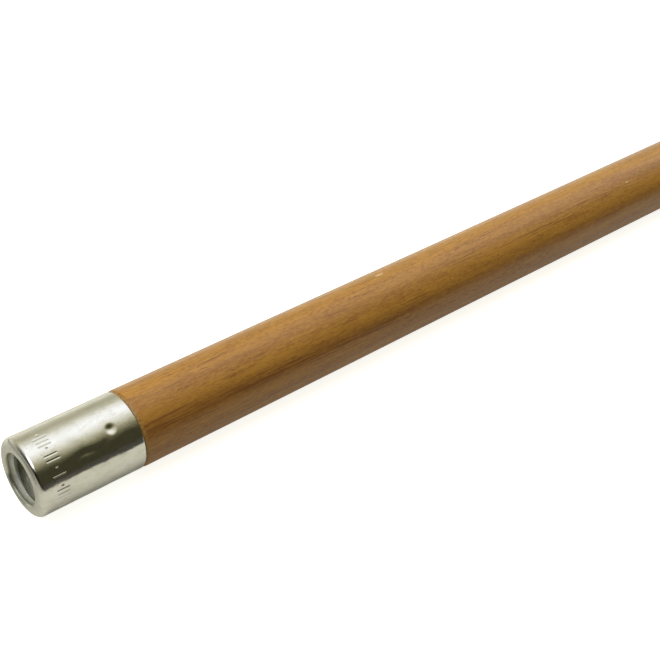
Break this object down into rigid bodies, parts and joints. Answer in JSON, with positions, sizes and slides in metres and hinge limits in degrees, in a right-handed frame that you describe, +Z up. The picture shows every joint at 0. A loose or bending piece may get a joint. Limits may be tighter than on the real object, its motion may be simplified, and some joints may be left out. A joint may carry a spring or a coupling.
{
  "type": "roller extension pole",
  "caption": "Round hardwood pole with a crimped, zinc-plated steel ferrule at one end. The ferrule's mouth has a female pole thread for a roller frame or another tool.",
  "frame": {"origin": "centre of the ferrule's flat mouth, on the pole's axis", "axes": "+X along the pole, from the threaded mouth to the plain rounded end; +Z up, with the first crimp 39 degrees from +Z towards -Y; a mating tool leaves along -X"},
  "size_m": [1.22, 0.0286, 0.0286],
  "materials": {
    "lacquered_wood": "stained brown hardwood with fine dark pores along the grain, under a satin lacquer",
    "zinc_plated_sheet": "bright zinc plating on thin drawn steel sheet, lightly wavy and scuffed",
    "plated_steel": "thinly plated machined steel, duller than the shell"
  },
  "bodies": {
    "root": {"wooden_pole": "lacquered_wood", "ferrule_shell": "zinc_plated_sheet", "threaded_bush": "plated_steel"}
  },
  "joints": []
}
